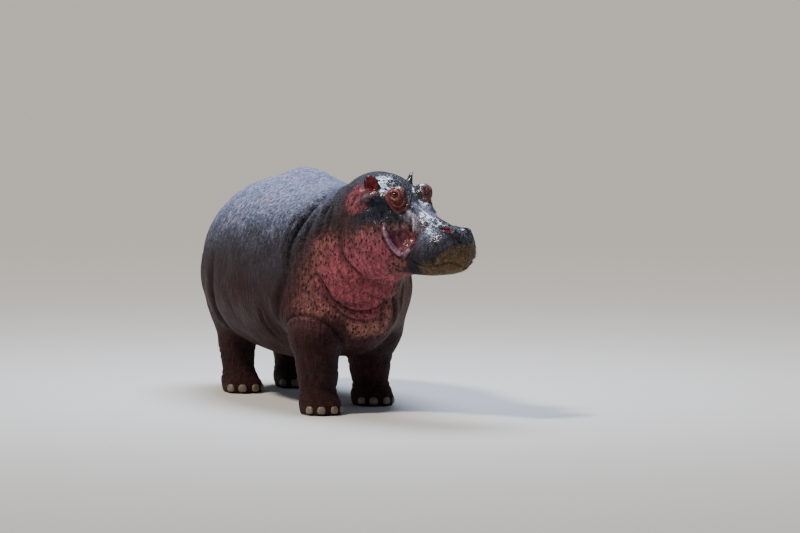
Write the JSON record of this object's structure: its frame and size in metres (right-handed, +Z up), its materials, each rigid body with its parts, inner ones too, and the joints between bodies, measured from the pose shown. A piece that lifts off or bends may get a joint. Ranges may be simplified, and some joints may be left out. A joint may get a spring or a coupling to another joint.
{
  "type": "hippopotamus",
  "caption": "Life-size still model of a standing hippopotamus with its head turned to its left, on four flat-soled feet.",
  "frame": {"origin": "middle of the bounding box in plan, on the floor that the soles stand on", "axes": "+Z up; -Y forwards along the body, towards the chest and head; +X the animal's own left side, where the head is turned"},
  "size_m": [1.075, 3.0234, 1.5416],
  "materials": {
    "skin": "wet, finely creased hide: blue-grey above, brown-black below, pink with dark spots on throat, cheeks and chest",
    "eye": "wet gloss, brown iris and dark pupil",
    "nail": "dull worn horn"
  },
  "bodies": {
    "root": {"trunk": "skin", "neck": "skin", "head": "skin", "foreleg_right": "skin", "nail_foreleg_right_1": "nail", "nail_foreleg_right_2": "nail", "nail_foreleg_right_3": "nail", "nail_foreleg_right_4": "nail", "foreleg_left": "skin", "nail_foreleg_left_1": "nail", "nail_foreleg_left_2": "nail", "nail_foreleg_left_3": "nail", "nail_foreleg_left_4": "nail", "hindleg_right": "skin", "nail_hindleg_right_1": "nail", "nail_hindleg_right_2": "nail", "nail_hindleg_right_3": "nail", "nail_hindleg_right_4": "nail", "hindleg_left": "skin", "nail_hindleg_left_1": "nail", "nail_hindleg_left_2": "nail", "nail_hindleg_left_3": "nail", "nail_hindleg_left_4": "nail", "eye_right": "eye", "ear_right": "skin", "eye_left": "eye", "ear_left": "skin", "tail": "skin"}
  },
  "joints": []
}
